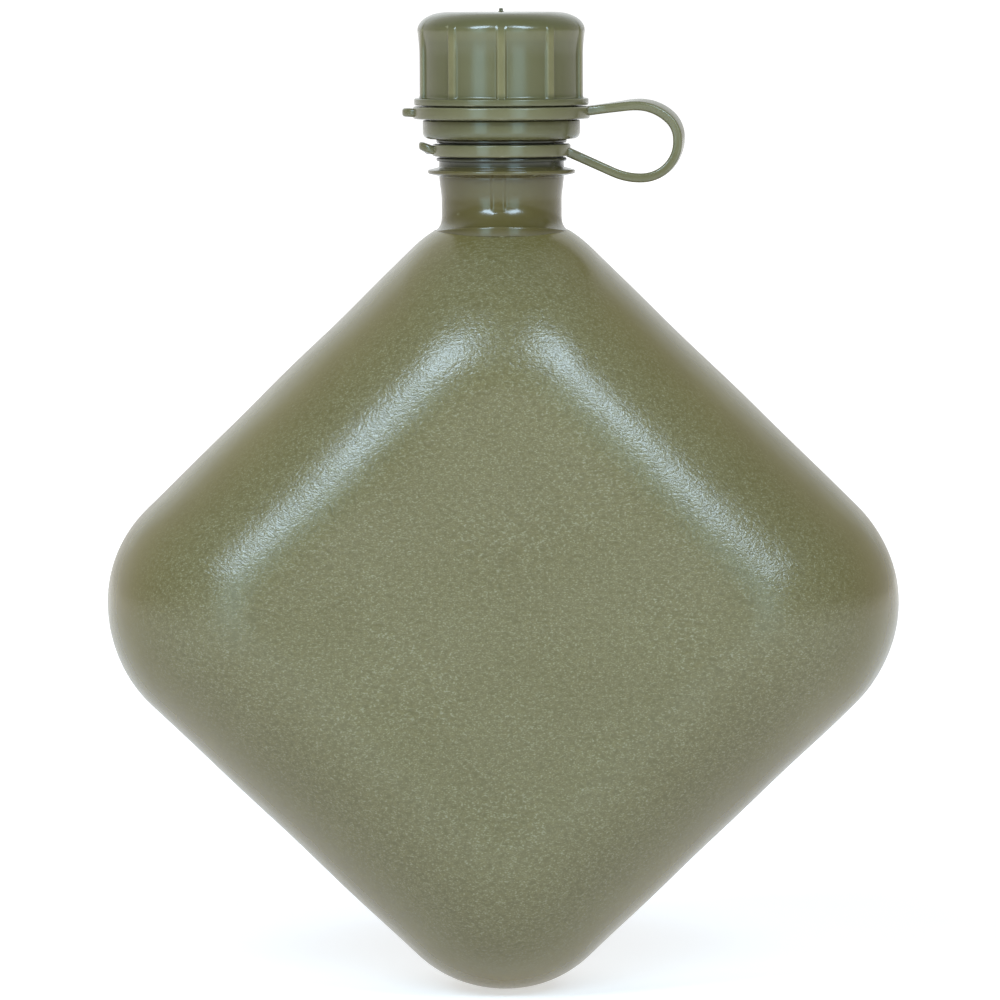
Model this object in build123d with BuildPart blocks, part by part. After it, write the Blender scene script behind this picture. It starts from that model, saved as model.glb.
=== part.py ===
from build123d import *
from math import cos, pi, radians, sin, tan
import os

# Collapsible two-quart canteen. Millimetres, +Z up along the neck, broad front face towards -Y,
# strap loop towards +X. The origin is under the middle of the bladder, at its lowest point.

# Bladder outline: a square stood on its corner, slightly taller above its side corners than below
side_x = 118.6  # sharp side corner, before rounding
side_z = 100.1
upper_slope = 44.3  # degrees from horizontal
lower_slope = 43.5
side_radius = 35.5
bottom_radius = 33.0
top_z = side_z + side_x * tan(radians(upper_slope))
bottom_z = -bottom_radius * (1 / cos(radians(lower_slope)) - 1)

# Bladder section: a quarter ellipse from the silhouette to the edge of each flat face
half_depth = 46.5
edge_width = 38.0  # from the silhouette in to the flat face
edge_steps = 6  # contours from the middle to each face
face_corner_radius = 8.0
neck_apex_z = 202.7  # top corner of the outline in the middle plane, inside the neck
face_apex_z = 158.8  # top corner of the flat faces
shoulder_fullness = 1.7
wall = 1.3

# Neck
neck_radius = 15.6
neck_upper_radius = 16.2
bore_radius = 13.3
foot_z = 196.4  # seat of the spout's foot on the bladder
foot_top_z = 197.8
foot_x_radius = 17.3
foot_y_radius = 19.4
flare_middle_z = 199.6
flare_x_radius = 16.0
flare_y_radius = 17.2
flare_top_z = 202.6
spout_bottom_z = 186.0
taper_bottom_z = 206.0
taper_top_z = 211.2
flange_z = 212.9
flange_radius = 19.1
flange_tip = 0.7
flange_root = 2.2
bead_radius = 16.9
bead_height = 0.9
groove_radius = 16.1
lip_z = 249.9
lip_round = 0.7
key_width = 3.7
key_height = 0.6
key_bottom_z = 203.0

# Sleeve inside the bladder that the spout is bonded into
sleeve_radius = 17.9
sleeve_fit = 0.05

# Strap rings and band
ring_height = 3.2
ring_gap = 0.35  # between a ring and the walls that hold it, along the axis
ring_round = 0.5
neck_ring_z = 216.9
neck_ring_inner = 16.4
neck_ring_outer = 17.9
neck_tab_reach = 21.4
cap_ring_z = 226.6
cap_ring_inner = 19.9
cap_ring_outer = 22.9
cap_tab_reach = 25.7
tab_width = 7.0
tab_thickness = 2.2
band_thickness = 2.4
band_width = 6.5
band_end_gap = 0.15
loop_radius = 9.75
loop_right_x = 46.0
loop_bottom_z = 211.1
loop_top_z = 230.7

# Cap
skirt_z = 221.4
skirt_radius = 20.4
skirt_round = 1.9
cap_groove_radius = 19.6
cap_flange_bottom_z = cap_ring_z + ring_height + ring_gap
cap_flange_top_z = 231.9
cap_flange_radius = 22.6
rib_radius = 21.9
rib_top_z = 253.9
panel_radius = 21.15
rib_count = 10
rib_width = 2.8
dome_radius = 14.0  # flat top inside the rounded shoulder
dome_z = 249.2
cap_top_z = 254.2
cap_cavity_radius = 18.6
gasket_thickness = 1.5
pip_radius = 0.5
pip_height = 1.0

# Thread
thread_lead = 6.0
thread_turns = 1.5
thread_z = 231.0
thread_root_width = 3.0
thread_crest_width = 1.6
thread_bury = 0.3
neck_crest_radius = 18.15
cap_crest_radius = 16.65


def apex_z(depth, inset):
    """Height of the bladder's top corner at a depth from the middle: full at the neck, low at the faces."""
    share = min(depth / (half_depth - inset), 1)
    rise = (1 - share**shoulder_fullness) ** (1 / shoulder_fullness)
    return face_apex_z + (neck_apex_z - inset - face_apex_z) * rise


def contour(depth, step_in, inset):
    """Outline of the bladder at a depth from its middle plane, step_in mm inside the silhouette."""
    upper = radians(upper_slope)
    lower = radians(lower_slope)
    high_z = top_z - step_in / cos(upper)
    low_z = bottom_z + step_in / cos(lower)
    corner_x = (high_z - low_z) / (tan(upper) + tan(lower))
    corner_z = low_z + corner_x * tan(lower)
    top_radius = (high_z - apex_z(abs(depth), inset)) / (1 / cos(upper) - 1)
    share = step_in / edge_width
    with BuildSketch(Plane.XZ.offset(depth)) as outline:
        with BuildLine():
            Polyline((0, high_z), (corner_x, corner_z), (0, low_z), (-corner_x, corner_z), close=True)
        make_face()
        fillet(outline.vertices().sort_by(Axis.Y)[-1], top_radius)
        side_corners = outline.vertices().sort_by(Axis.X)
        fillet([side_corners[0], side_corners[-1]], side_radius + (face_corner_radius - side_radius) * share)
        low_corner = outline.vertices().sort_by(Axis.Y)[0]
        fillet(low_corner, bottom_radius + (face_corner_radius - bottom_radius) * share)
    return outline.sketch


def pillow(inset):
    """The bladder's cushion shape, shrunk by inset on every side."""
    width = edge_width - inset
    with BuildPart() as body:
        for step in range(-edge_steps, edge_steps + 1):
            angle = pi / 2 * step / edge_steps
            add(contour((half_depth - inset) * sin(angle), inset + width * (1 - cos(angle)), inset))
        loft()
    return body.part


def ridge(root_radius, crest_radius):
    """One start of right-hand trapezoid thread on a wall at root_radius, buried a little in it."""
    inward = 1 if crest_radius > root_radius else -1
    root = root_radius - inward * thread_bury
    with BuildPart() as thread:
        with BuildLine(Plane.XY.offset(thread_z)) as path:
            Helix(pitch=thread_lead, height=thread_lead * thread_turns, radius=root)
        start = path.line @ 0
        radial = Vector(start.X, start.Y, 0).normalized()
        with BuildSketch(Plane(origin=start, x_dir=radial, z_dir=path.line % 0)):
            with BuildLine():
                Polyline(
                    (0, -thread_root_width / 2),
                    (crest_radius - root, -thread_crest_width / 2),
                    (crest_radius - root, thread_crest_width / 2),
                    (0, thread_root_width / 2),
                    close=True,
                )
            make_face()
        sweep(path=path.line, is_frenet=True)
    return thread.part


def make_bladder():
    """Blown one-piece shell with an inner sleeve for the spout and a seat for its foot."""
    outside = pillow(0)
    inside = pillow(wall)
    with BuildPart() as bladder:
        add(outside)
        add(inside, mode=Mode.SUBTRACT)
        with BuildSketch(Plane.XY.offset(spout_bottom_z)):
            Circle(sleeve_radius)
        extrude(amount=foot_z - spout_bottom_z)
        with BuildSketch(Plane.XY.offset(foot_z)):
            Ellipse(foot_x_radius + sleeve_fit, foot_y_radius + sleeve_fit)
        extrude(amount=top_z - foot_z, mode=Mode.SUBTRACT)
        with BuildSketch(Plane.XY.offset(spout_bottom_z)):
            Circle(neck_radius + sleeve_fit)
        extrude(amount=top_z - spout_bottom_z, mode=Mode.SUBTRACT)
    return bladder.part


def make_neck_spout():
    """Rigid spout: bonded lower tube, flared foot, flange, strap groove, thread and lip."""
    thread = ridge(neck_upper_radius, neck_crest_radius)
    groove_bottom = neck_ring_z - ring_gap
    groove_top = neck_ring_z + ring_height + ring_gap
    with BuildPart() as neck_spout:
        with BuildSketch(Plane.XZ):
            with BuildLine():
                Polyline(
                    (bore_radius, spout_bottom_z),
                    (neck_radius, spout_bottom_z),
                    (neck_radius, taper_bottom_z),
                    (neck_upper_radius, taper_top_z),
                    (neck_upper_radius, flange_z - flange_root / 2),
                    (flange_radius, flange_z - flange_tip / 2),
                    (flange_radius, flange_z + flange_tip / 2),
                    (neck_upper_radius, flange_z + flange_root / 2),
                    (neck_upper_radius, groove_bottom - bead_height),
                    (bead_radius, groove_bottom - bead_height),
                    (bead_radius, groove_bottom),
                    (groove_radius, groove_bottom),
                    (groove_radius, groove_top),
                    (bead_radius, groove_top),
                    (bead_radius, groove_top + bead_height),
                    (neck_upper_radius, groove_top + bead_height),
                    (neck_upper_radius, lip_z),
                    (bore_radius, lip_z),
                    close=True,
                )
            make_face()
        revolve(axis=Axis.Z)
        lip = neck_spout.faces().filter_by(Plane.XY).sort_by(Axis.Z)[-1]
        fillet(lip.edges(), lip_round)
        with BuildSketch(Plane.XY.offset(foot_z)):
            Ellipse(foot_x_radius, foot_y_radius)
        extrude(amount=foot_top_z - foot_z)
        with BuildSketch(Plane.XY.offset(foot_top_z)):
            Ellipse(foot_x_radius, foot_y_radius)
        with BuildSketch(Plane.XY.offset(flare_middle_z)):
            Ellipse(flare_x_radius, flare_y_radius)
        with BuildSketch(Plane.XY.offset(flare_top_z)):
            Circle(neck_radius)
        loft()
        with BuildSketch(Plane.XY.offset(key_bottom_z)):
            Rectangle(key_width, 2 * (neck_upper_radius + key_height))
        extrude(amount=flange_z - key_bottom_z)
        with BuildSketch(Plane.XY.offset(spout_bottom_z)):
            Circle(bore_radius)
        extrude(amount=cap_top_z - spout_bottom_z, mode=Mode.SUBTRACT)
        add(thread)
    return neck_spout.part


def make_ring(bottom_z, inner, outer, tab_reach):
    """Strap ring with a pull tab towards -X."""
    with BuildPart() as ring:
        with BuildSketch(Plane.XY.offset(bottom_z)):
            Circle(outer)
        extrude(amount=ring_height)
        fillet(ring.edges(), ring_round)
        tab_bottom = bottom_z + (ring_height - tab_thickness) / 2
        with BuildSketch(Plane.XY.offset(tab_bottom)):
            with Locations((-tab_reach + tab_width / 2, 0)):
                Circle(tab_width / 2)
            with Locations((-(tab_reach - tab_width / 2) / 2, 0)):
                Rectangle(tab_reach - tab_width / 2, tab_width)
        extrude(amount=tab_thickness)
        with BuildSketch(Plane.XY.offset(bottom_z)):
            Circle(inner)
        extrude(amount=ring_height, mode=Mode.SUBTRACT)
    return ring.part


def make_strap_band():
    """Flat band that leaves the neck ring, loops out and back, and ends at the cap ring."""
    start = (neck_ring_inner, 218.3)
    end = (cap_ring_outer + band_end_gap, 229.5)
    with BuildPart() as band:
        with BuildSketch(Plane.XZ):
            with BuildLine() as middle:
                FilletPolyline(
                    start,
                    (32.3, loop_bottom_z),
                    (loop_right_x, loop_bottom_z),
                    (loop_right_x, loop_top_z),
                    (34.0, loop_top_z),
                    end,
                    radius=[17.5, loop_radius, loop_radius, 20.0],
                )
            trace(middle.line, line_width=band_thickness)
        extrude(amount=band_width / 2, both=True)
        with BuildSketch(Plane.XY.offset(loop_bottom_z)):
            Circle(neck_ring_outer)
        extrude(amount=loop_top_z - loop_bottom_z, mode=Mode.SUBTRACT)
    return band.part


def cap_profile(shoulder_radius, shoulder_top_z):
    """Closed half section of the solid cap whose wall stands at shoulder_radius above the flange."""
    with BuildSketch(Plane.XZ) as profile:
        with BuildLine():
            Polyline(
                (dome_radius, shoulder_top_z),
                (0, shoulder_top_z),
                (0, skirt_z),
                (skirt_radius, skirt_z),
                (skirt_radius, cap_ring_z - ring_gap),
                (cap_groove_radius, cap_ring_z - ring_gap),
                (cap_groove_radius, cap_flange_bottom_z),
                (cap_flange_radius, cap_flange_bottom_z),
                (cap_flange_radius, cap_flange_top_z),
                (shoulder_radius, cap_flange_top_z),
                (shoulder_radius, dome_z),
            )
            EllipticalCenterArc(
                (dome_radius, dome_z),
                shoulder_radius - dome_radius,
                shoulder_top_z - dome_z,
                arc_size=90,
            )
        make_face()
    return profile.sketch


def make_cap():
    """Screw cap: ribbed drum over a flange, the strap groove and a rounded skirt."""
    thread = ridge(cap_cavity_radius, cap_crest_radius)
    panel_section = cap_profile(panel_radius, cap_top_z)
    rib_section = cap_profile(rib_radius, rib_top_z)
    with BuildPart() as ribs:
        add(rib_section)
        revolve(axis=Axis.Z)
        with BuildSketch(Plane.XY.offset(cap_flange_top_z)):
            with PolarLocations((dome_radius + rib_radius) / 2, rib_count, start_angle=-90):
                Rectangle(rib_radius, rib_width)
        extrude(amount=cap_top_z - cap_flange_top_z, mode=Mode.INTERSECT)
    with BuildPart() as cap:
        add(panel_section)
        revolve(axis=Axis.Z)
        rim = cap.edges().filter_by(GeomType.CIRCLE).sort_by(Axis.Z)[0]
        fillet(rim, skirt_round)
        add(ribs.part)
        with BuildSketch(Plane.XY.offset(cap_top_z)):
            Circle(pip_radius)
        extrude(amount=pip_height)
        with BuildSketch(Plane.XY.offset(skirt_z)):
            Circle(cap_cavity_radius)
        extrude(amount=lip_z + gasket_thickness - skirt_z, mode=Mode.SUBTRACT)
        add(thread, rotation=(0, 0, 180))
    return cap.part


def make_cap_gasket():
    """Flat washer between the spout's lip and the inside of the cap's top."""
    with BuildPart() as gasket:
        with BuildSketch(Plane.XY.offset(lip_z)):
            Circle(cap_cavity_radius - 0.4)
            Circle(bore_radius - 2.0, mode=Mode.SUBTRACT)
        extrude(amount=gasket_thickness)
    return gasket.part


pieces = {
    "bladder": make_bladder(),
    "neck_spout": make_neck_spout(),
    "strap_neck_ring": make_ring(neck_ring_z, neck_ring_inner, neck_ring_outer, neck_tab_reach),
    "strap_band": make_strap_band(),
    "strap_cap_ring": make_ring(cap_ring_z, cap_ring_inner, cap_ring_outer, cap_tab_reach),
    "cap": make_cap(),
    "cap_gasket": make_cap_gasket(),
}

os.makedirs("parts", exist_ok=True)
for name, piece in pieces.items():
    piece.label = name
    export_step(piece, f"parts/{name}.step")
    print(name, round(piece.volume / 1000, 2), "cm3", len(piece.solids()), "solid(s)")
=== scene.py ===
import math

import bmesh
import bpy
import numpy as np
from mathutils import Matrix, Quaternion, Vector


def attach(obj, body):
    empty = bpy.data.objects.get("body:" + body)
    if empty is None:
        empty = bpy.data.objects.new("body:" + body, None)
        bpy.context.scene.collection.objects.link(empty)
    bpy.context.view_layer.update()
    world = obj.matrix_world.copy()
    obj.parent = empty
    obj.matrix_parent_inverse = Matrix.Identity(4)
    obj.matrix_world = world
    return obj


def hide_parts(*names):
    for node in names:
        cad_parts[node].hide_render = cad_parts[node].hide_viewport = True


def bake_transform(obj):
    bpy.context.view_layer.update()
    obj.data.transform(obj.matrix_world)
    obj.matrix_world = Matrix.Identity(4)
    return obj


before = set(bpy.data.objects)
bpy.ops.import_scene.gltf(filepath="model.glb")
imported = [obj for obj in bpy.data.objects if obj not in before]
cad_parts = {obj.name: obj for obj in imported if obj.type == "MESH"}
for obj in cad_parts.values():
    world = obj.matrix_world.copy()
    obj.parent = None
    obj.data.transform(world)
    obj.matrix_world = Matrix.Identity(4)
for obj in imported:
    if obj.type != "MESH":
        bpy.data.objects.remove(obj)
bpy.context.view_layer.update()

# Collapsible canteen, in the part's frame: +Z up along the neck, broad front face towards -Y, strap loop
# towards +X. Shapes are in millimetres, down to make_object. Materials, lights and the camera use metres.

# Bladder
SIDE_X, SIDE_Z = 118.6, 100.1
UPPER, LOWER = math.radians(44.3), math.radians(43.5)
SIDE_RADIUS, BOTTOM_RADIUS, FACE_CORNER_RADIUS = 35.5, 33.0, 8.0
HALF_DEPTH, EDGE_WIDTH = 46.5, 38.0
NECK_APEX, FACE_APEX, SHOULDER_FULLNESS = 202.7, 158.8, 1.7
WALL = 1.3
TOP_Z = SIDE_Z + SIDE_X * math.tan(UPPER)
BOTTOM_Z = -BOTTOM_RADIUS * (1 / math.cos(LOWER) - 1)

# Neck spout
BORE, NECK, NECK_UPPER = 13.3, 15.6, 16.2
SPOUT_BOTTOM, FOOT_Z, FOOT_TOP = 186.0, 196.4, 197.8
FOOT_X, FOOT_Y = 17.3, 19.4
FOOT_RISE = 1.6  # how much higher the foot's top stands at the front and back
KEY_HEIGHT, KEY_OFFSET = 0.35, 0.9  # the upright bar on the neck's front and back
FLARE_TOP = 205.2
KEY_TOP, FLANGE = 211.9, 19.1
BEAD, GROOVE = 16.9, 16.1
LIP_Z = 249.9
SLEEVE, FIT = 17.9, 0.05  # the bladder's thick collar round the spout, and its clearance

# Thread, shared by the neck and the cap
LEAD, TURNS, THREAD_Z = 6.0, 1.5, 231.0
ROOT_WIDTH, CREST_WIDTH = 3.0, 1.6
NECK_CREST, CAP_CREST = 18.15, 16.65

# Cap
RIBS, RIB_WIDTH = 10, 2.8
PANEL_RADIUS, RIB_RADIUS, CAVITY = 21.15, 21.9, 18.6
DOME_RADIUS, SHOULDER_Z, CAP_TOP = 14.0, 249.2, 254.2
SCOOP_FULL, SCOOP_END = 243.0, 253.0  # between these heights a panel rises out to the ribs' surface
ON_PANEL = 9.0  # a distance from a rib's middle that is well past its edge
CAP_FLANGE, CAP_FLANGE_LOW, CAP_FLANGE_TOP = 22.6, 230.15, 231.9
CAP_GROOVE, GROOVE_LOW = 19.6, 226.25
SKIRT, SKIRT_Z = 20.4, 221.4
CEILING = 251.4
PIP_RADIUS, PIP_TOP = 0.5, 255.2

# Strap
RING_HEIGHT, TAB_HALF_WIDTH = 3.2, 3.5
TAB_INSET = 0.5  # how much a tab is thinner than its ring, above and below
BAND_HALF_THICKNESS, BAND_HALF_WIDTH, BAND_CORNER = 1.2, 3.25, 0.7
BAND_GUSSET = 1.1  # how much wider each side of the band is where it meets a ring

# Colours
FACE_DARK, FACE_LIGHT, FACE_SPECK = (0.107, 0.086, 0.034), (0.139, 0.113, 0.047), (0.198, 0.177, 0.104)
# The side colours are a browner, darker copy of the face colours: painted shade round the sides.
SHADED_SIDE_DARK, SHADED_SIDE_LIGHT = (0.117, 0.085, 0.019), (0.132, 0.098, 0.026)


# ---------------------------------------------------------------- mesh helpers


def rounded(corners, radii, step=0.5, arc_steps=6):
    """Points along straight runs between the corners, each inner corner rounded to its radius."""
    corners = [np.array(c, float) for c in corners]
    points = [corners[0]]

    def run_to(end):
        length = np.linalg.norm(end - points[-1])
        start = points[-1]
        count = max(1, round(length / step))
        points.extend(start + (end - start) * i / count for i in range(1, count + 1))

    for before, corner, after, radius in zip(corners, corners[1:], corners[2:], radii):
        u = (before - corner) / np.linalg.norm(before - corner)
        w = (after - corner) / np.linalg.norm(after - corner)
        half = math.acos(float(np.clip(u @ w, -1, 1))) / 2
        middle = (u + w) / np.linalg.norm(u + w)
        centre = corner + middle * radius / math.sin(half)
        start = corner + u * radius / math.tan(half)
        end = corner + w * radius / math.tan(half)
        run_to(start)
        a, b = start - centre, end - centre
        sweep = math.pi - 2 * half
        for i in range(1, arc_steps + 1):
            t = i / arc_steps
            arc = a * math.sin((1 - t) * sweep) + b * math.sin(t * sweep)
            points.append(centre + arc / math.sin(sweep))
    run_to(corners[-1])
    return np.array(points)


def make_object(name, vertices, faces, sharp=None):
    """A mesh object from points in millimetres, with normals outwards and smooth shading."""
    mesh = bpy.data.meshes.new(name)
    mesh.from_pydata((np.asarray(vertices, float) / 1000).tolist(), [], faces)
    work = bmesh.new()
    work.from_mesh(mesh)
    bmesh.ops.remove_doubles(work, verts=work.verts, dist=1e-7)
    bmesh.ops.recalc_face_normals(work, faces=work.faces)
    work.to_mesh(mesh)
    work.free()
    mesh.shade_smooth()
    if sharp:
        mesh.set_sharp_from_angle(angle=math.radians(sharp))
    made = bpy.data.objects.new(name, mesh)
    bpy.context.scene.collection.objects.link(made)
    return made


def skin(rows, loop=False, start_pole=None, end_pole=None):
    """Vertices and faces over rows of points.

    Each row is a closed ring. The rows close on themselves or end at poles.
    """
    rows = np.asarray(rows, float)
    count, columns = rows.shape[:2]
    vertices = rows.reshape(-1, 3).tolist()
    faces = []
    for r in range(count if loop else count - 1):
        a, b = r * columns, (r + 1) % count * columns
        faces += [(a + c, a + (c + 1) % columns, b + (c + 1) % columns, b + c) for c in range(columns)]
    for pole, base in ((start_pole, 0), (end_pole, (count - 1) * columns)):
        if pole is not None:
            vertices.append(pole)
            tip = len(vertices) - 1
            faces += [(tip, base + c, base + (c + 1) % columns) for c in range(columns)]
    return vertices, faces


def lathe(profile, columns):
    """Rings of a profile of (radius, height) points turned round the Z axis."""
    angle = np.linspace(0, 2 * math.pi, columns, endpoint=False)
    r, z = profile[:, :1], profile[:, 1:]
    return np.stack([r * np.cos(angle), r * np.sin(angle), z + 0 * angle], axis=-1)


def combine(target, other, operation):
    """target with other joined on or cut away; other is used up."""
    step = target.modifiers.new("cut", "BOOLEAN")
    step.operation, step.solver, step.object = operation, "EXACT", other
    seen = target.evaluated_get(bpy.context.evaluated_depsgraph_get())
    result = bpy.data.meshes.new_from_object(seen)
    target.modifiers.clear()
    target.data = result
    bpy.data.objects.remove(other)
    return target


def smoothstep(value, low, high):
    t = np.clip((np.asarray(value, float) - low) / (high - low), 0, 1)
    return t * t * (3 - 2 * t)


def thread_height(angle, z, turned=0.0):
    """How far the right-hand thread stands up, 0 to 1, at an angle and a height."""
    height = np.zeros(np.broadcast(angle, z).shape)
    for turn in range(-1, 3):
        swept = np.mod(angle - turned, 2 * math.pi) + 2 * math.pi * turn
        off = np.abs(z - THREAD_Z - LEAD * swept / (2 * math.pi))
        flank = np.clip((ROOT_WIDTH / 2 - off) / ((ROOT_WIDTH - CREST_WIDTH) / 2), 0, 1)
        ends = smoothstep(swept, 0, 0.3) * smoothstep(2 * math.pi * TURNS - swept, 0, 0.3)
        height = np.maximum(height, flank * ends)
    return height


def finish_piece(obj, body, slot, material, *nodes):
    """The piece rides on its body, stands for its CAD nodes and takes its material."""
    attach(obj, body)
    declare(obj, slot, material, *nodes)


def declare(obj, slot, material, *nodes):
    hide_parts(*nodes)
    obj.data.materials.clear()
    obj.data.materials.append(material)


# ---------------------------------------------------------------- bladder


def contour(step_in, apex, counts):
    """Closed outline (x, z) of the bladder, step_in inside its silhouette.

    Its top corner is rounded down to apex. counts are the steps on the top, lines, sides and bottom.
    """
    high = TOP_Z - step_in / math.cos(UPPER)
    low = BOTTOM_Z + step_in / math.cos(LOWER)
    share = step_in / EDGE_WIDTH
    top = (high - apex) / (1 / math.cos(UPPER) - 1)
    side = SIDE_RADIUS + (FACE_CORNER_RADIUS - SIDE_RADIUS) * share
    bottom = BOTTOM_RADIUS + (FACE_CORNER_RADIUS - BOTTOM_RADIUS) * share
    inner_high = high - side / math.cos(UPPER)
    inner_low = low + side / math.cos(LOWER)
    side_x = (inner_high - inner_low) / (math.tan(UPPER) + math.tan(LOWER))
    arcs = (
        (0, high - top / math.cos(UPPER), top, 0, UPPER),
        (side_x, inner_low + side_x * math.tan(LOWER), side, UPPER, math.pi - LOWER),
        (0, low + bottom / math.cos(LOWER), bottom, math.pi - LOWER, math.pi),
    )
    n_top, n_line, n_side, n_bottom = counts
    half = []
    for (x, z, radius, first, last), count in zip(arcs, (n_top, n_side, n_bottom)):
        if half:
            end = (x + radius * math.sin(first), z + radius * math.cos(first))
            start = half[-1]
            for i in range(1, n_line):
                t = i / n_line
                half.append((start[0] + (end[0] - start[0]) * t, start[1] + (end[1] - start[1]) * t))
        for angle in np.linspace(first, last, count + 1):
            half.append((x + radius * math.sin(angle), z + radius * math.cos(angle)))
    mirrored = [(-x, z) for x, z in reversed(half[1:-1])]
    return np.array(half + mirrored)


def pillow(name, inset, counts, edge_rows, face_rows):
    """The bladder's closed cushion surface, shrunk by inset."""
    depth, width = HALF_DEPTH - inset, EDGE_WIDTH - inset
    rows = []
    for angle in np.linspace(-math.pi / 2, math.pi / 2, 2 * edge_rows + 1):
        share = min(abs(math.sin(angle)), 1)
        rise = (1 - share**SHOULDER_FULLNESS) ** (1 / SHOULDER_FULLNESS)
        apex = FACE_APEX + (NECK_APEX - inset - FACE_APEX) * rise
        outline = contour(inset + width * (1 - math.cos(angle)), apex, counts)
        level = np.full(len(outline), -depth * math.sin(angle))
        rows.append(np.stack([outline[:, 0], level, outline[:, 1]], axis=-1))
    middle = np.array([0, 0, SIDE_Z])
    for end, place in ((rows[0], 0), (rows[-1], len(rows))):
        pole = middle + np.array([0, end[0, 1], 0])
        shrunk = [pole + (end - pole) * (1 - i / face_rows) for i in range(1, face_rows)]
        rows = shrunk[::-1] + rows if place == 0 else rows + shrunk
    back, front = rows[0][0, 1], rows[-1][0, 1]
    vertices, faces = skin(rows, start_pole=(0, back, SIDE_Z), end_pole=(0, front, SIDE_Z))
    return make_object(name, vertices, faces)


def cylinder(name, x_radius, y_radius, low, high, columns=192):
    angle = np.linspace(0, 2 * math.pi, columns, endpoint=False)
    ring = np.stack([x_radius * np.cos(angle), y_radius * np.sin(angle), 0 * angle], axis=-1)
    rows = [ring + np.array([0, 0, low]), ring + np.array([0, 0, high])]
    return make_object(name, *skin(rows, start_pole=(0, 0, low), end_pole=(0, 0, high)))


def swell(obj, amount):
    """Slow, shallow waves over a blown skin, along its normals."""
    mesh = obj.data
    co = np.zeros(len(mesh.vertices) * 3)
    normal = np.zeros(len(mesh.vertices) * 3)
    mesh.vertices.foreach_get("co", co)
    mesh.vertices.foreach_get("normal", normal)
    co, normal = co.reshape(-1, 3) * 1000, normal.reshape(-1, 3)
    x, y, z = co.T
    wave = (
        np.sin(x / 11.3 + 0.7) * np.sin(z / 13.7 + 1.9)
        + 0.6 * np.sin(x / 6.1 + z / 9.7 + y / 7.0)
        + 0.5 * np.sin(z / 5.3 - x / 17.0 + 0.4)
    )
    near_neck = smoothstep(np.hypot(x, y), 24, 40) * smoothstep(z, 170, 190) + smoothstep(-z, -190, -170)
    co += normal * (amount * wave * np.clip(near_neck, 0, 1))[:, None]
    mesh.vertices.foreach_set("co", (co / 1000).ravel())
    mesh.update()


def make_bladder():
    bladder = pillow("bladder_shell", 0, (22, 44, 38, 18), 42, 22)
    swell(bladder, 0.11)
    hollow = pillow("bladder_hollow", WALL, (10, 16, 14, 8), 16, 8)
    combine(hollow, cylinder("sleeve", SLEEVE, SLEEVE, SPOUT_BOTTOM, 215), "DIFFERENCE")
    combine(hollow, cylinder("bore", NECK + FIT, NECK + FIT, SPOUT_BOTTOM - 2, 215), "UNION")
    combine(hollow, cylinder("seat", FOOT_X + FIT, FOOT_Y + FIT, FOOT_Z, 215.5), "UNION")
    combine(bladder, hollow, "DIFFERENCE")
    bladder.data.shade_smooth()
    bladder.data.set_sharp_from_angle(angle=math.radians(35))
    return bladder


# ---------------------------------------------------------------- neck spout


def make_neck():
    tube = [(BORE, 192), (BORE, SPOUT_BOTTOM), (NECK, SPOUT_BOTTOM), (NECK, FOOT_Z)]
    lower = rounded(tube, [0.4, 0.4], 2.5, 3)
    upper = rounded(
        [
            (NECK, 205.4),
            (NECK, 206.4),
            (NECK_UPPER, 211.2),
            (NECK_UPPER, 211.75),
            (FLANGE, 212.45),
            (FLANGE, 213.35),
            (NECK_UPPER, 214.1),
            (NECK_UPPER, 215.65),
            (BEAD, 215.65),
            (BEAD, 216.55),
            (GROOVE, 216.55),
            (GROOVE, 220.45),
            (BEAD, 220.45),
            (BEAD, 221.35),
            (NECK_UPPER, 221.35),
            (NECK_UPPER, 229.0),
        ],
        [15, 3, 0.25, 0.33, 0.33, 0.35, 0.1, 0.3, 0.3, 0.1, 0.1, 0.3, 0.3, 0.1],
        0.9,
        4,
    )
    threaded = np.array([(NECK_UPPER, z) for z in np.arange(229.2, 242.2, 0.2)])
    mouth = [(NECK_UPPER, 243.0), (NECK_UPPER, LIP_Z), (BORE, LIP_Z), (BORE, 193)]
    lip = rounded(mouth, [0.7, 0.7], 3.0, 6)
    columns = 288
    angle = np.linspace(0, 2 * math.pi, columns, endpoint=False)
    rows = []

    def ring(radius, z):
        radius, z = np.broadcast_to(radius, angle.shape), np.broadcast_to(z, angle.shape)
        rows.append(np.stack([radius * np.cos(angle), radius * np.sin(angle), z], axis=-1))

    foot = 1 / np.sqrt((np.cos(angle) / FOOT_X) ** 2 + (np.sin(angle) / FOOT_Y) ** 2)
    front = np.sin(angle) ** 2
    for r, z in lower:
        ring(r, z)
    under = 0.45
    for t in np.linspace(0, 1, 6):
        turn = t * math.pi / 2
        ring(foot - under + under * math.sin(turn), FOOT_Z + 0.02 + under * (1 - math.cos(turn)))
    foot_top = FOOT_TOP + FOOT_RISE * front
    soft = 0.3 + 0.4 * front
    for t in np.linspace(0, 1, 8):
        turn = t * math.pi / 2
        ring(foot - soft * (1 - math.cos(turn)), foot_top - soft * (1 - math.sin(turn)))
    side = np.abs(np.cos(angle) * NECK_UPPER - KEY_OFFSET * np.sign(np.sin(angle)))
    key = smoothstep(-side, -2.2, -1.3)
    for t in np.linspace(0.02, 1, 30) ** 1.4:
        z = foot_top + (FLARE_TOP - foot_top) * t
        s = np.clip((z - foot_top) / (4.8 + 1.2 * front), 0, 1)
        flare = (foot - soft - NECK) * (1 - s) ** (4.2 - 2.0 * front)
        ring(NECK + flare + KEY_HEIGHT * key * smoothstep(z, 202.4, 204.6), z)
    for r, z in upper:
        ring(r + KEY_HEIGHT * key * float(z < KEY_TOP), z)
    for r, z in threaded:
        ring(r + (NECK_CREST - r) * thread_height(angle, z), z)
    for r, z in lip:
        ring(r, z)
    return make_object("neck_moulding", *skin(rows, loop=True), sharp=50)


# ---------------------------------------------------------------- cap and gasket


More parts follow.
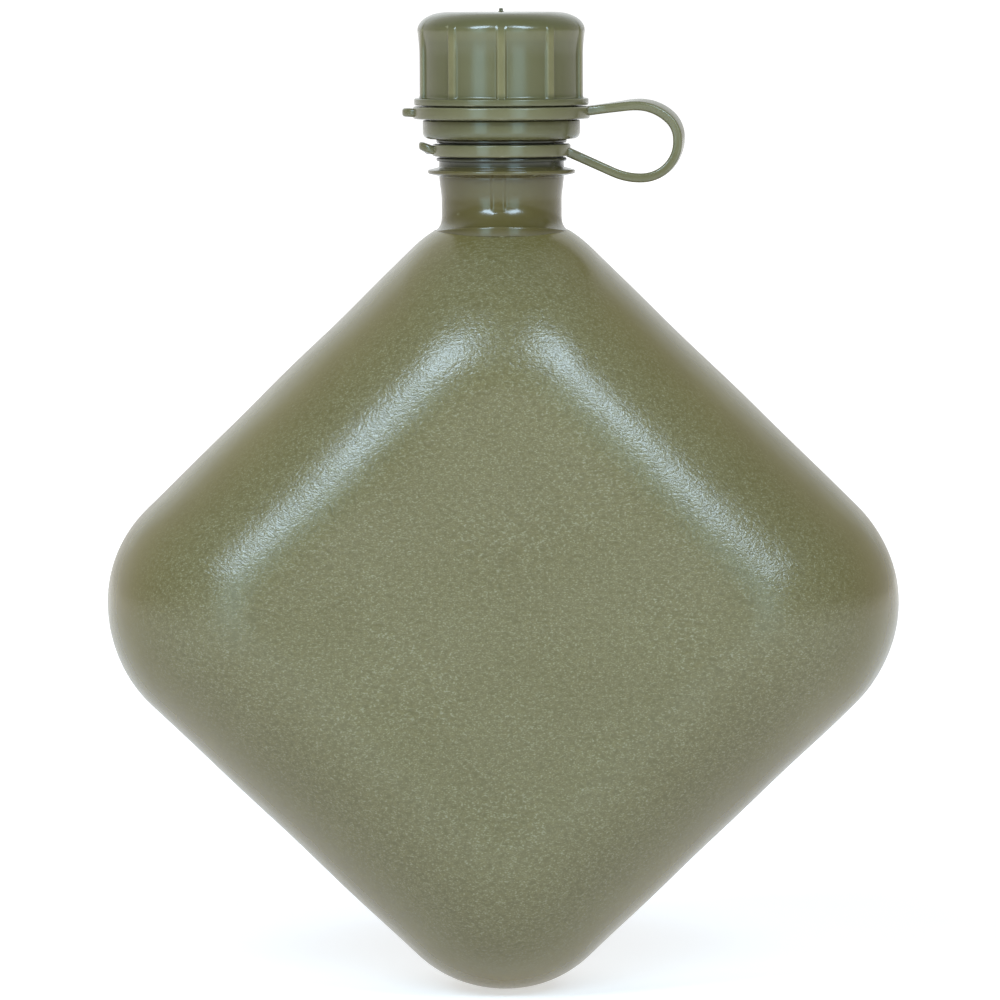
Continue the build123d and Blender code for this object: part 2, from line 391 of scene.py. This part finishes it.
def cap_columns():
    """Columns round the cap: fine over each rib's edges, coarser over the panels."""
    half = [0.2, 0.5, 0.75, 0.9, 1.05, 1.2, 1.35, 1.5, 1.7]
    over_rib = [-w for w in reversed(half)] + half
    panel = 12
    return over_rib, panel


def cap_ring(radius, z, rib_radius=None, rib_z=None):
    """One ring of the cap; where a rib stands, the ring follows the rib's own radius and height."""
    over_rib, panel = cap_columns()
    reach = max(radius, DOME_RADIUS)
    edge = math.asin(over_rib[-1] / reach)
    pitch = 2 * math.pi / RIBS
    points = []
    for rib in range(RIBS):
        middle = -math.pi / 2 + rib * pitch
        stations = [(math.asin(w / reach), w) for w in over_rib]
        stations += [(edge + (pitch - 2 * edge) * i / (panel + 1), ON_PANEL) for i in range(1, panel + 1)]
        for turn, w in stations:
            on_rib = float(smoothstep(-abs(w), -RIB_WIDTH / 2 - 0.1, -RIB_WIDTH / 2 + 0.6))
            r = radius if rib_radius is None else radius + (rib_radius - radius) * on_rib
            level = z if rib_z is None else z + (rib_z - z) * on_rib
            points.append((r * math.cos(middle + turn), r * math.sin(middle + turn), level))
    return np.array(points)


def scoop(z):
    """How deep a panel lies below the ribs at a height; its upper end rises gently into the shoulder."""
    return (RIB_RADIUS - PANEL_RADIUS) * float(smoothstep(-z, -SCOOP_END, -SCOOP_FULL))


def make_cap():
    rows = []
    for r in (0.5, 0.9, 2, 4, 7, 10, 12.5):
        rows.append(cap_ring(r, CAP_TOP))
    for t in np.linspace(0, 1, 30):
        a = math.pi / 2 * t
        r = DOME_RADIUS + (RIB_RADIUS - DOME_RADIUS) * math.sin(a)
        z = SHOULDER_Z + (CAP_TOP - SHOULDER_Z) * math.cos(a)
        rows.append(cap_ring(r - scoop(z), z, r, z))
    for z in np.linspace(SHOULDER_Z - 0.6, 233.0, 16):
        rows.append(cap_ring(RIB_RADIUS - scoop(z), z, RIB_RADIUS, z))
    for t in np.linspace(0.15, 1, 5):
        lift = 0.7 * (1 - math.sin(t * math.pi / 2))
        out = 0.45 * (1 - math.cos(t * math.pi / 2))
        rows.append(cap_ring(PANEL_RADIUS + out, 232.0 + lift, RIB_RADIUS + 0.3 * out, 232.0 + lift))
    rim = rounded(
        [
            (22.0, CAP_FLANGE_TOP),
            (CAP_FLANGE, CAP_FLANGE_TOP),
            (CAP_FLANGE, CAP_FLANGE_LOW),
            (CAP_GROOVE, CAP_FLANGE_LOW),
            (CAP_GROOVE, GROOVE_LOW),
            (SKIRT, GROOVE_LOW),
            (SKIRT, SKIRT_Z),
            (CAVITY, SKIRT_Z),
            (CAVITY, 228.8),
        ],
        [0.35, 0.35, 0.15, 0.15, 0.35, 1.75, 0.04],
        0.9,
        6,
    )
    rows += [cap_ring(r, z) for r, z in rim]
    for z in np.arange(229.0, 242.2, 0.22):
        ring = cap_ring(CAVITY, z)
        angle = np.arctan2(ring[:, 1], ring[:, 0])
        stands = thread_height(angle, z, turned=math.pi)
        shrink = (CAVITY - (CAVITY - CAP_CREST) * stands) / CAVITY
        ring[:, :2] *= shrink[:, None]
        rows.append(ring)
    inside = rounded([(CAVITY, 243), (CAVITY, CEILING), (1.0, CEILING)], [0.6], 2.5, 4)
    rows += [cap_ring(r, z) for r, z in inside]
    vertices, faces = skin(rows, start_pole=(0, 0, CAP_TOP), end_pole=(0, 0, CEILING))
    cap = make_object("cap_moulding", vertices, faces, sharp=50)
    half = [(0.02, PIP_TOP), (PIP_RADIUS, PIP_TOP), (PIP_RADIUS, 254.5), (0.9, 254.1), (0.02, 254.0)]
    pip = lathe(rounded(half, [0.25, 0.3, 0.05], 0.3, 4), 24)
    pip_mesh = make_object("pip", *skin(pip, start_pole=(0, 0, PIP_TOP), end_pole=(0, 0, 254.0)))
    combine(cap, pip_mesh, "UNION")
    cap.data.shade_smooth()
    cap.data.set_sharp_from_angle(angle=math.radians(50))
    return cap


def make_gasket():
    hole, rim, start = 11.3, 18.2, 15
    corners = [(start, LIP_Z), (rim, LIP_Z), (rim, CEILING), (hole, CEILING), (hole, LIP_Z), (start, LIP_Z)]
    section = rounded(corners, [0.3] * 4)
    return make_object("gasket_washer", *skin(lathe(section[:-1], 96), loop=True), sharp=50)


# ---------------------------------------------------------------- strap


def make_ring(name, low, inner, outer, reach, lift):
    """A strap ring with its pull tab towards -X; the tab's tip stands lift above its root."""
    high, middle = low + RING_HEIGHT, (inner + outer) / 2
    corners = [(middle, low), (outer, low), (outer, high), (inner, high), (inner, low), (middle, low)]
    section = rounded(corners, [0.5, 0.5, 0.35, 0.35], 0.8, 5)
    ring = make_object(name, *skin(lathe(section[:-1], 180), loop=True))
    tab_low, tab_high = low + TAB_INSET, high - TAB_INSET
    edge = rounded([(0, tab_low), (1, tab_low), (1, tab_high), (0, tab_high)], [0.7, 0.7], 5, 5)
    tip = -reach + TAB_HALF_WIDTH
    turns = np.linspace(-math.pi / 2, math.pi / 2, 25)
    rows = []
    for offset, z in edge:
        half = TAB_HALF_WIDTH - (1 - offset)
        around = [(tip - half * math.cos(a), half * math.sin(a)) for a in turns]
        straight = [(x, half) for x in np.linspace(tip, -middle, 6)[1:]]
        points = straight[::-1] + around[::-1] + [(x, -half) for x, _ in straight]
        row = np.array([(x, y, z) for x, y in points])
        row[:, 2] += lift * smoothstep(-row[:, 0], middle, reach)
        rows.append(row)
    rows = rows[1:-1]
    centre = (-(reach + middle) / 2, 0)
    tab = make_object("tab", *skin(rows, start_pole=(*centre, tab_low), end_pole=(*centre, tab_high)))
    combine(ring, tab, "UNION")
    ring.data.shade_smooth()
    ring.data.set_sharp_from_angle(angle=math.radians(40))
    return ring


def make_band():
    """Flat band that loops from the neck ring to the cap ring, turned a little about its length."""
    right, low, high = 46.0, 211.1, 230.1
    start, end = (16.9, 218.1), (21.6, 228.45)
    corners = [start, (32.3, low), (right, low), (right, 224.8), (40.0, high), (34.0, high), end]
    path = rounded(corners, [17.5, 9.75, 7.5, 12.0, 20.0], 0.8, 18)
    along = np.concatenate([[0], np.cumsum(np.linalg.norm(np.diff(path, axis=0), axis=1))])
    share = along / along[-1]
    tangent = np.gradient(path, axis=0)
    tangent /= np.linalg.norm(tangent, axis=1)[:, None]
    across = np.array([0.0, 1.0, 0.0])
    corner = BAND_CORNER
    rows = []
    for point, direction, s, length in zip(path, tangent, share, along):
        gusset = BAND_GUSSET * math.exp(-((length / 3.0) ** 2))
        gusset += BAND_GUSSET * math.exp(-(((along[-1] - length) / 3.5) ** 2))
        half_wide = BAND_HALF_WIDTH + gusset
        out = np.array([direction[1], 0, -direction[0]])
        turn = math.radians(2) * math.sin(math.pi * s) ** 2
        turn += math.radians(11) * math.exp(-(((s - 0.66) / 0.16) ** 2))
        ring = []
        for a, b, first in ((1, 1, 0), (-1, 1, 90), (-1, -1, 180), (1, -1, 270)):
            for angle in np.radians(np.linspace(first, first + 90, 6)):
                u = a * (half_wide - corner) + corner * math.cos(angle)
                v = b * (BAND_HALF_THICKNESS - corner) + corner * math.sin(angle)
                ring.append(
                    np.array([point[0], 0, point[1]])
                    + across * (u * math.cos(turn) - v * math.sin(turn))
                    + out * (u * math.sin(turn) + v * math.cos(turn))
                )
        rows.append(ring)
    first, last = np.mean(rows[0], axis=0), np.mean(rows[-1], axis=0)
    return make_object("keeper_band", *skin(rows, start_pole=first, end_pole=last), sharp=60)


# ---------------------------------------------------------------- materials


class Shader:
    """A principled material and short ways to add nodes to it."""

    def __init__(self, name, roughness, ior=1.47):
        self.material = bpy.data.materials.new(name)
        self.material.use_nodes = True
        self.tree = self.material.node_tree
        self.tree.nodes.clear()
        output = self.add("ShaderNodeOutputMaterial")
        self.shader = self.add("ShaderNodeBsdfPrincipled")
        self.link(self.shader.outputs["BSDF"], output.inputs["Surface"])
        self.shader.inputs["Roughness"].default_value = roughness
        self.shader.inputs["IOR"].default_value = ior
        self.place = self.add("ShaderNodeTexCoord").outputs["Object"]

    def add(self, kind, **settings):
        node = self.tree.nodes.new(kind)
        for key, value in settings.items():
            setattr(node, key, value)
        return node

    def link(self, source, target):
        self.tree.links.new(source, target)

    def noise(self, scale, detail=2.0, roughness=0.5, stretch=None):
        node = self.add("ShaderNodeTexNoise")
        node.inputs["Scale"].default_value = scale
        node.inputs["Detail"].default_value = detail
        node.inputs["Roughness"].default_value = roughness
        place = self.place
        if stretch:
            mapping = self.add("ShaderNodeMapping")
            mapping.inputs["Scale"].default_value = stretch
            self.link(place, mapping.inputs["Vector"])
            place = mapping.outputs["Vector"]
        self.link(place, node.inputs["Vector"])
        return node.outputs["Fac"]

    def spread(self, source, low, high, to_low=0.0, to_high=1.0, kind="LINEAR"):
        node = self.add("ShaderNodeMapRange", interpolation_type=kind)
        for name, value in (("From Min", low), ("From Max", high), ("To Min", to_low), ("To Max", to_high)):
            node.inputs[name].default_value = value
        self.link(source, node.inputs["Value"])
        return node.outputs["Result"]

    def maths(self, operation, a, b):
        node = self.add("ShaderNodeMath", operation=operation)
        for socket, value in zip(node.inputs, (a, b)):
            if isinstance(value, (int, float)):
                socket.default_value = value
            else:
                self.link(value, socket)
        return node.outputs["Value"]

    def mix(self, factor, a, b):
        node = self.add("ShaderNodeMix", data_type="RGBA")
        sockets = [s for s in node.inputs if s.type == "RGBA"]
        self.link(factor, node.inputs[0])
        for socket, value in zip(sockets, (a, b)):
            if isinstance(value, tuple):
                socket.default_value = (*value, 1)
            else:
                self.link(value, socket)
        return next(s for s in node.outputs if s.type == "RGBA")

    def tint(self, colour, factor, low, high):
        """colour times a tint that drifts from low to high."""
        node = self.add("ShaderNodeMix", data_type="RGBA", blend_type="MULTIPLY")
        node.inputs[0].default_value = 1
        sockets = [x for x in node.inputs if x.type == "RGBA"]
        self.link(colour, sockets[0])
        self.link(self.mix(factor, low, high), sockets[1])
        return next(x for x in node.outputs if x.type == "RGBA")

    def bump(self, height, distance, strength=1.0, before=None):
        node = self.add("ShaderNodeBump")
        node.inputs["Distance"].default_value = distance
        if isinstance(strength, (int, float)):
            node.inputs["Strength"].default_value = strength
        else:
            self.link(strength, node.inputs["Strength"])
        self.link(height, node.inputs["Height"])
        if before is not None:
            self.link(before, node.inputs["Normal"])
        return node.outputs["Normal"]

    def finish(self, color=None, roughness=None, normal=None):
        for source, name in ((color, "Base Color"), (roughness, "Roughness"), (normal, "Normal")):
            if source is not None:
                self.link(source, self.shader.inputs[name])
        return self.material


def pebbled_plastic():
    """Olive blown plastic: pebbled over the faces and smooth round the sides, where the colour turns browner
    and darker as painted shade.
    """
    s = Shader("pebbled_olive_plastic", 0.30)
    split = s.add("ShaderNodeSeparateXYZ")
    s.link(s.place, split.inputs["Vector"])
    depth = s.maths("ABSOLUTE", split.outputs["Y"], 0)
    aside = s.maths("MULTIPLY", s.maths("ABSOLUTE", split.outputs["X"], 0), -0.45)
    shoulder = s.spread(s.maths("ADD", split.outputs["Z"], aside), 0.165, 0.195, 0, 0.013)
    pebbled = s.spread(s.maths("ADD", depth, shoulder), 0.018, 0.041, kind="SMOOTHSTEP")
    grain = s.noise(2600, 1.0, 0.5, stretch=(0.7, 1, 1.2))
    pits = s.noise(1050, 2.0, 0.6, stretch=(0.75, 1, 1.15))
    patches = s.noise(22, 3.0, 0.6)
    specks = s.maths("MULTIPLY", s.spread(grain, 0.50, 0.70), s.spread(pits, 0.35, 0.60))
    mottle = s.mix(s.spread(pits, 0.3, 0.7), FACE_DARK, FACE_LIGHT)
    face = s.mix(specks, mottle, FACE_SPECK)
    # Painted shade: round the sides the colour is a browner, darker copy of the face's.
    side = s.mix(s.spread(patches, 0.3, 0.7), SHADED_SIDE_DARK, SHADED_SIDE_LIGHT)
    drift = s.spread(patches, 0.35, 0.65)
    base = s.tint(s.mix(pebbled, side, face), drift, (0.96, 0.955, 0.94), (1.03, 1.035, 1.05))
    standing = s.spread(split.outputs["Z"], 0.0035, 0.0005)
    scuffs = s.noise(330, 4.0, 0.7, stretch=(1, 1, 0.5))
    wear = s.maths("MULTIPLY", standing, s.spread(scuffs, 0.48, 0.62))
    base = s.mix(wear, base, (0.30, 0.30, 0.21))
    roughness = s.spread(scuffs, 0.3, 0.7, 0.20, 0.265)
    height = s.maths("ADD", s.maths("MULTIPLY", grain, 0.6), pits)
    strength = s.spread(pebbled, 0, 1, 0.0, 0.36)
    fine = s.bump(s.noise(260, 2.0), 0.0004, 0.08)
    normal = s.bump(height, 0.0003, strength, fine)
    return s.finish(base, roughness, normal)


def moulded_plastic(name, low, high, worn_colour, roughness, ribs=None, painted_shade_band=None):
    """Smooth moulded olive plastic: faint mottling, light wear on edges, fine scuffs.

    ribs is a lighter colour painted over the cap's ribs as painted light. The last argument, when given, is a
    height range in metres that is darkened as painted shade.
    """
    s = Shader(name, roughness)
    patches = s.noise(45, 3.0, 0.6)
    base = s.mix(s.spread(patches, 0.32, 0.68), low, high)
    point = s.add("ShaderNodeNewGeometry").outputs["Pointiness"]
    scuffs = s.noise(380, 4.0, 0.7, stretch=(1, 1, 0.35))
    wear = s.maths("MULTIPLY", s.spread(point, 0.515, 0.60), s.spread(scuffs, 0.40, 0.60))
    base = s.mix(wear, base, worn_colour)
    split = s.add("ShaderNodeSeparateXYZ")
    s.link(s.place, split.inputs["Vector"])
    # Painted light: the ribs' faces are painted lighter than the panels, with a mottle.
    if ribs:
        flat = s.add("ShaderNodeVectorMath", operation="MULTIPLY")
        flat.inputs[1].default_value = (1, 1, 0)
        s.link(s.place, flat.inputs[0])
        radius = s.add("ShaderNodeVectorMath", operation="LENGTH")
        s.link(flat.outputs["Vector"], radius.inputs[0])
        rib_zone = s.spread(radius.outputs["Value"], 0.02135, 0.02185)
        above = s.spread(split.outputs["Z"], 0.2325, 0.2335)
        below = s.spread(split.outputs["Z"], 0.2515, 0.2475)
        rib_painted_light = s.maths("MULTIPLY", s.maths("MULTIPLY", rib_zone, above), below)
        rib_painted_light = s.maths("MULTIPLY", rib_painted_light, s.spread(scuffs, 0.3, 0.7, 0.45, 0.8))
        base = s.mix(rib_painted_light, base, ribs)
    # Painted shade: a dark colour over the given height band, the neck's recess round the strap ring's seat.
    if painted_shade_band:
        inside = s.maths(
            "MULTIPLY",
            s.spread(split.outputs["Z"], painted_shade_band[0], painted_shade_band[0] + 0.0006),
            s.spread(split.outputs["Z"], painted_shade_band[1], painted_shade_band[1] - 0.0006),
        )
        base = s.mix(s.maths("MULTIPLY", inside, 0.8), base, (0.022, 0.021, 0.012))
    rough = s.spread(scuffs, 0.3, 0.7, roughness - 0.03, roughness + 0.03)
    orange_peel = s.bump(s.noise(210, 2.0), 0.0005, 0.10)
    normal = s.bump(scuffs, 0.00015, 0.12, orange_peel)
    return s.finish(base, rough, normal)


def gasket_rubber():
    s = Shader("gasket_rubber", 0.7)
    patches = s.noise(120, 3.0)
    base = s.mix(patches, (0.02, 0.02, 0.02), (0.05, 0.05, 0.048))
    rough = s.spread(patches, 0.3, 0.7, 0.6, 0.8)
    normal = s.bump(s.noise(900, 2.0), 0.0002, 0.3)
    return s.finish(base, rough, normal)


def floor_paper():
    s = Shader("floor_paper", 0.9)
    fibres = s.noise(60, 4.0)
    base = s.mix(fibres, (0.60, 0.60, 0.60), (0.64, 0.64, 0.64))
    s.shader.inputs["Emission Color"].default_value = (1, 1, 1, 1)
    radius = s.add("ShaderNodeVectorMath", operation="LENGTH")
    s.link(s.place, radius.inputs[0])
    s.link(s.spread(radius.outputs["Value"], 0.2, 1.4, 0.56, 0.97), s.shader.inputs["Emission Strength"])
    return s.finish(base, None, s.bump(s.noise(900, 2.0), 0.0001, 0.05))


# ---------------------------------------------------------------- assembly

olive_skin = pebbled_plastic()
olive_cap = moulded_plastic(
    "moulded_olive_plastic",
    (0.084, 0.073, 0.029),
    (0.096, 0.084, 0.036),
    (0.20, 0.175, 0.095),
    0.21,
    # lighter colour on the ribs: painted light
    ribs=(0.165, 0.136, 0.058),
)
olive_neck = moulded_plastic(
    "neck_olive_plastic",
    (0.074, 0.055, 0.016),
    (0.085, 0.064, 0.021),
    (0.18, 0.155, 0.085),
    0.20,
    # height band darkened with painted shade, under the strap ring
    painted_shade_band=(0.2138, 0.2216),
)
olive_strap = moulded_plastic(
    "strap_olive_plastic",
    (0.108, 0.091, 0.040),
    (0.122, 0.104, 0.048),
    (0.22, 0.19, 0.11),
    0.23,
)

finish_piece(make_bladder(), "bottle", "bladder", olive_skin, "bladder")
finish_piece(make_neck(), "bottle", "fittings", olive_neck, "neck_spout")
finish_piece(make_cap(), "cap", "fittings", olive_cap, "cap")
finish_piece(make_gasket(), "gasket", "gasket", gasket_rubber(), "cap_gasket")
neck_loop = make_ring("neck_ring_loop", 216.9, 16.4, 17.9, 21.4, 1.1)
finish_piece(neck_loop, "neck_ring", "strap", olive_strap, "strap_neck_ring")
cap_loop = make_ring("cap_ring_loop", 226.6, 19.9, 22.9, 25.7, 0.1)
finish_piece(cap_loop, "cap_ring", "strap", olive_strap, "strap_cap_ring")
band = make_band()
declare(band, "strap", olive_strap, "strap_band")
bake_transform(band)

# ---------------------------------------------------------------- floor, light, camera

floor_mesh = bpy.data.meshes.new("floor")
floor_mesh.from_pydata([(-9, -9, 0), (9, -9, 0), (9, 9, 0), (-9, 9, 0)], [], [(0, 1, 2, 3)])
floor = bpy.data.objects.new("floor", floor_mesh)
bpy.context.scene.collection.objects.link(floor)
floor.data.materials.append(floor_paper())

world = bpy.data.worlds.new("studio")
bpy.context.scene.world = world
world.use_nodes = True
nodes, links = world.node_tree.nodes, world.node_tree.links
nodes.clear()
output = nodes.new("ShaderNodeOutputWorld")
direction = nodes.new("ShaderNodeTexCoord")
split = nodes.new("ShaderNodeSeparateXYZ")
links.new(direction.outputs["Generated"], split.inputs["Vector"])
gradient = nodes.new("ShaderNodeMapRange")
gradient.interpolation_type = "SMOOTHSTEP"
for name, value in (("From Min", -0.2), ("From Max", 1.0), ("To Min", 0.235), ("To Max", 1.15)):
    gradient.inputs[name].default_value = value
links.new(split.outputs["Y"], gradient.inputs["Value"])
around = nodes.new("ShaderNodeBackground")
sideways = nodes.new("ShaderNodeMapRange")
for name, value in (("From Min", -0.7), ("From Max", 0.7), ("To Min", 1.0), ("To Max", 0.72)):
    sideways.inputs[name].default_value = value
links.new(split.outputs["X"], sideways.inputs["Value"])
strength = nodes.new("ShaderNodeMath")
strength.operation = "MULTIPLY"
links.new(gradient.outputs["Result"], strength.inputs[0])
links.new(sideways.outputs["Result"], strength.inputs[1])
links.new(strength.outputs["Value"], around.inputs["Strength"])
around.inputs["Color"].default_value = (1, 1, 1, 1)
backdrop = nodes.new("ShaderNodeBackground")
backdrop.inputs["Color"].default_value = (1, 1, 1, 1)
backdrop.inputs["Strength"].default_value = 1.1
path = nodes.new("ShaderNodeLightPath")
mixed = nodes.new("ShaderNodeMixShader")
links.new(path.outputs["Is Camera Ray"], mixed.inputs[0])
links.new(around.outputs[0], mixed.inputs[1])
links.new(backdrop.outputs[0], mixed.inputs[2])
links.new(mixed.outputs[0], output.inputs["Surface"])


def softbox(name, azimuth, elevation, distance, width, height, power, colour, tilted=False):
    """A rectangular light that faces a point on the neck's axis, 150 mm above the floor.

    Its lower edge is level, or with tilted it stands at right angles to the direction of the front.
    """
    data = bpy.data.lights.new(name, "AREA")
    data.shape, data.size, data.size_y = "RECTANGLE", width, height
    data.energy, data.color = power, colour
    light = bpy.data.objects.new(name, data)
    a, e = math.radians(azimuth), math.radians(elevation)
    toward = Vector((math.sin(a) * math.cos(e), -math.cos(a) * math.cos(e), math.sin(e)))
    light.location = Vector((0, 0, 0.15)) + toward * distance
    along = Vector((0, -1, 0)).cross(toward).normalized() if tilted else Vector((math.cos(a), math.sin(a), 0))
    light.rotation_euler = Matrix((along, toward.cross(along), toward)).transposed().to_euler()
    light.visible_camera = False
    bpy.context.scene.collection.objects.link(light)


SOFTBOX_COLOUR, BACK_COLOUR, FILL_COLOUR = (0.60, 0.80, 1.0), (0.76, 0.92, 1.0), (0.50, 0.86, 1.0)
softbox("softbox_left", -32, 36, 1.5, 0.68, 0.36, 19, SOFTBOX_COLOUR, tilted=True)
softbox("softbox_right", 31, 35, 1.5, 0.66, 0.36, 17.5, SOFTBOX_COLOUR, tilted=True)
softbox("back_left", -160, 22, 1.5, 1.1, 0.7, 0.8, BACK_COLOUR)
softbox("back_right", 160, 22, 1.5, 1.1, 0.7, 0.6, BACK_COLOUR)
softbox("low_fill_left", -31, 5, 1.5, 0.48, 0.74, 3.6, FILL_COLOUR)
softbox("low_fill_right", 24, 5, 1.5, 0.48, 0.74, 3.1, FILL_COLOUR)

CAMERA_X, AIM_Z, ROLL = -0.0007, 0.1275, math.radians(-0.2)  # the object leans 0.2 degrees in the photo
camera_data = bpy.data.cameras.new("camera")
camera_data.sensor_width, camera_data.lens = 36, 277.5
camera = bpy.data.objects.new("camera", camera_data)
camera.location = (CAMERA_X, -2.0, 0.268)
aim = Vector((CAMERA_X, 0, AIM_Z)) - camera.location
camera.rotation_euler = (aim.to_track_quat("-Z", "Y") @ Quaternion((0, 0, 1), ROLL)).to_euler()
camera_data.clip_start, camera_data.clip_end = 0.01, 100
bpy.context.scene.collection.objects.link(camera)
bpy.context.scene.camera = camera
bpy.context.scene.view_settings.view_transform = "Standard"
